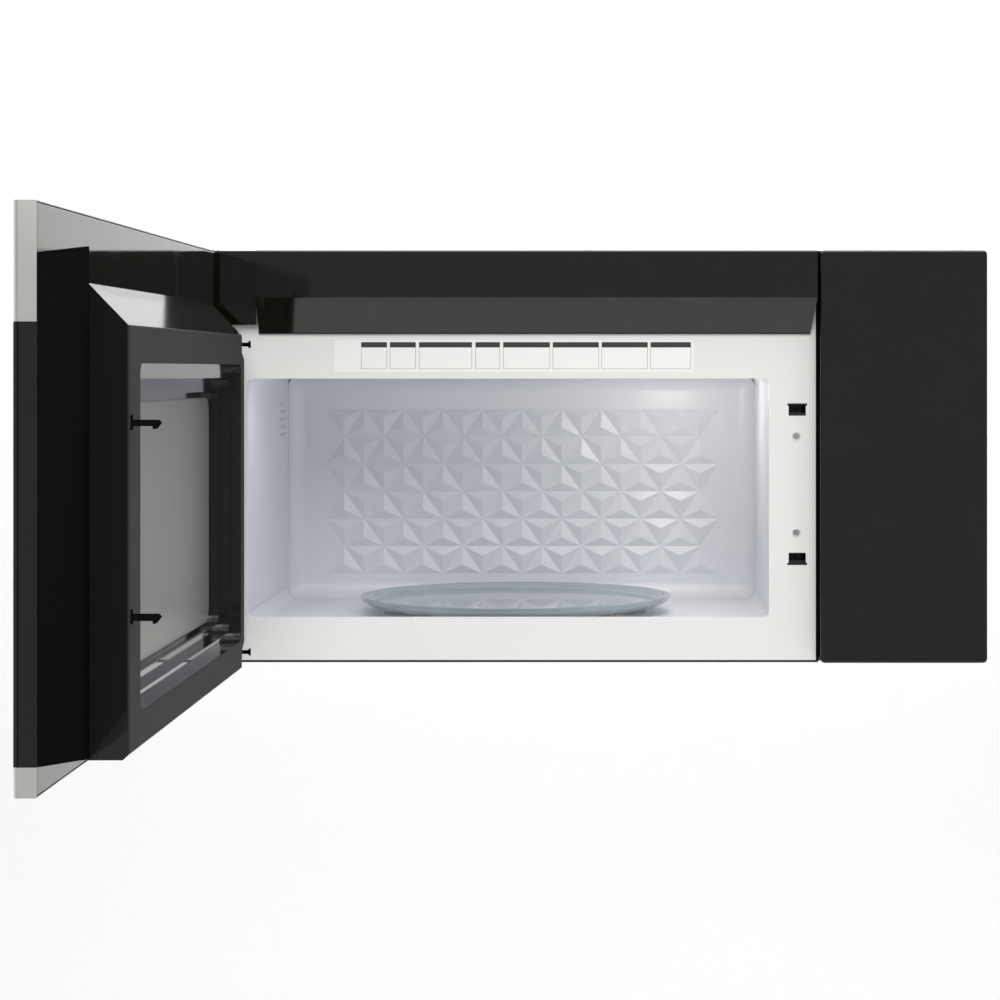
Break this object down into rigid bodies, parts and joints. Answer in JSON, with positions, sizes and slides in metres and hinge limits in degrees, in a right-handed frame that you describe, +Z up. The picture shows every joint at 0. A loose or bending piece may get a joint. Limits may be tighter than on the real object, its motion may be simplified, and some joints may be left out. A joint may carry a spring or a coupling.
{
  "type": "over-the-range microwave oven",
  "caption": "Wide wall-hung microwave oven with a full-width side-hinged door, a glass turntable, an exhaust blower on top and grease filters underneath.",
  "frame": {"origin": "centre of the rear plate's outer face, which lies against the wall", "axes": "+X right as seen by the cook, +Y into the wall, +Z up; the door stands open at rest"},
  "size_m": [0.757, 1.1583, 0.4065],
  "materials": {
    "painted_steel_black": "satin black cabinet enamel",
    "enamel_white": "white enamelled face frame",
    "enamel_cavity": "light blue-grey cavity enamel",
    "galvanised": "zinc-coated sheet",
    "stainless": "brushed stainless steel",
    "steel": "bright plated steel",
    "black_glass": "black-backed gloss glass",
    "clear_glass": "clear glass",
    "lens_glass": "frosted lens",
    "gloss_black": "high-gloss black moulding",
    "matt_black": "dark moulded plastic",
    "nylon_white": "natural nylon",
    "mica": "mica board",
    "board_green": "circuit board with parts",
    "copper_core": "varnished core and windings",
    "aluminium_can": "bare aluminium",
    "charcoal": "charcoal cells",
    "rubber": "moulded rubber"
  },
  "bodies": {
    "cabinet": {"outer_wrap": "painted_steel_black", "rear_plate": "galvanised", "base_plate": "painted_steel_black", "face_frame": "enamel_white", "component_shelf": "galvanised", "cavity_wrap": "enamel_cavity", "cavity_floor": "enamel_cavity", "cavity_back": "enamel_cavity", "waveguide_cover": "mica", "waveguide": "galvanised", "magnetron": "steel", "high_voltage_transformer": "copper_core", "high_voltage_capacitor": "aluminium_can", "power_board": "board_green", "fan_shroud": "matt_black", "fan_motor": "galvanised", "blower_housing": "galvanised", "blower_motor": "painted_steel_black", "exhaust_adapter": "galvanised", "charcoal_filter": "charcoal", "cord_grommet": "rubber", "right_panel": "gloss_black", "control_board": "board_green", "top_trim": "gloss_black", "hinge_cover": "matt_black", "frame_screws": "steel", "turntable_motor": "galvanised", "cavity_lamp": "galvanised", "cooktop_lamps": "aluminium_can", "cooktop_lenses": "lens_glass", "upper_hinge": "galvanised", "lower_hinge": "galvanised", "latch_housing": "nylon_white", "latch_switches": "matt_black"},
    "door": {"door_frame": "gloss_black", "door_bushings": "nylon_white", "door_glass": "black_glass", "door_top_band": "stainless", "door_bottom_band": "stainless", "choke_cover": "gloss_black", "choke_frame": "galvanised", "window_screen": "painted_steel_black", "inner_window": "clear_glass", "touch_board": "board_green", "latch_spring": "steel"},
    "latch": {"latch_lever": "matt_black"},
    "upper_switch_button": {"upper_plunger": "nylon_white"},
    "lower_switch_button": {"lower_plunger": "nylon_white"},
    "tray": {"glass_tray": "clear_glass", "turntable_coupler": "nylon_white"},
    "ring": {"roller_ring": "nylon_white"},
    "wheel_1": {"roller_1": "nylon_white"},
    "wheel_2": {"roller_2": "nylon_white"},
    "wheel_3": {"roller_3": "nylon_white"},
    "cooling_impeller": {"cooling_fan": "nylon_white"},
    "blower_rotor": {"blower_wheels": "matt_black"},
    "damper": {"damper_flap": "aluminium_can"},
    "left_filter": {"grease_filter_left": "aluminium_can"},
    "right_filter": {"grease_filter_right": "aluminium_can"}
  },
  "joints": [
    {"name": "door_hinge", "type": "hinge", "parent": "cabinet", "child": "door", "pos_m": [-0.3618, -0.418, 0], "axis": [0, 0, 1], "range_deg": [0, 90]},
    {"name": "latch_lift", "type": "slide", "parent": "door", "child": "latch", "axis": [0, 0, 1], "range_m": [0, 0.0026], "stiffness_N_per_m": 300, "springref_m": -0.004, "deforming": ["latch_spring"]},
    {"name": "upper_switch_press", "type": "slide", "parent": "cabinet", "child": "upper_switch_button", "axis": [0, 1, 0], "range_m": [0, 0.002], "stiffness_N_per_m": 200, "springref_m": -0.002},
    {"name": "lower_switch_press", "type": "slide", "parent": "cabinet", "child": "lower_switch_button", "axis": [0, 1, 0], "range_m": [0, 0.002], "stiffness_N_per_m": 200, "springref_m": -0.002},
    {"name": "turntable_spin", "type": "hinge", "parent": "cabinet", "child": "tray", "pos_m": [-0.0753, -0.2, -0.157], "axis": [0, 0, 1], "continuous": true},
    {"name": "ring_spin", "type": "hinge", "parent": "cabinet", "child": "ring", "pos_m": [-0.0753, -0.2, -0.16435], "axis": [0, 0, 1], "continuous": true},
    {"name": "roller_1_spin", "type": "hinge", "parent": "ring", "child": "wheel_1", "pos_m": [-0.0753, -0.088, -0.16435], "axis": [0, 1, 0], "continuous": true},
    {"name": "roller_2_spin", "type": "hinge", "parent": "ring", "child": "wheel_2", "pos_m": [-0.1723, -0.256, -0.16435], "axis": [-0.866, -0.5, 0], "continuous": true},
    {"name": "roller_3_spin", "type": "hinge", "parent": "ring", "child": "wheel_3", "pos_m": [0.02169, -0.256, -0.16435], "axis": [0.866, -0.5, 0], "continuous": true},
    {"name": "cooling_fan_spin", "type": "hinge", "parent": "cabinet", "child": "cooling_impeller", "pos_m": [0.282, -0.046, 0.04], "axis": [0, 1, 0], "continuous": true},
    {"name": "blower_spin", "type": "hinge", "parent": "cabinet", "child": "blower_rotor", "pos_m": [0, -0.12, 0.132], "axis": [1, 0, 0], "continuous": true},
    {"name": "damper_swing", "type": "hinge", "parent": "cabinet", "child": "damper", "pos_m": [0, -0.116, 0.1985], "axis": [1, 0, 0], "range_deg": [0, 70]},
    {"name": "left_filter_slide", "type": "slide", "parent": "cabinet", "child": "left_filter", "axis": [0, 1, 0], "range_m": [0, 0.008]},
    {"name": "right_filter_slide", "type": "slide", "parent": "cabinet", "child": "right_filter", "axis": [0, 1, 0], "range_m": [0, 0.008]}
  ],
  "couplings": [
    {"joint": "ring_spin", "follows": "turntable_spin", "ratio": 0.5},
    {"joint": "roller_1_spin", "follows": "turntable_spin", "ratio": -8},
    {"joint": "roller_2_spin", "follows": "turntable_spin", "ratio": -8},
    {"joint": "roller_3_spin", "follows": "turntable_spin", "ratio": -8}
  ]
}
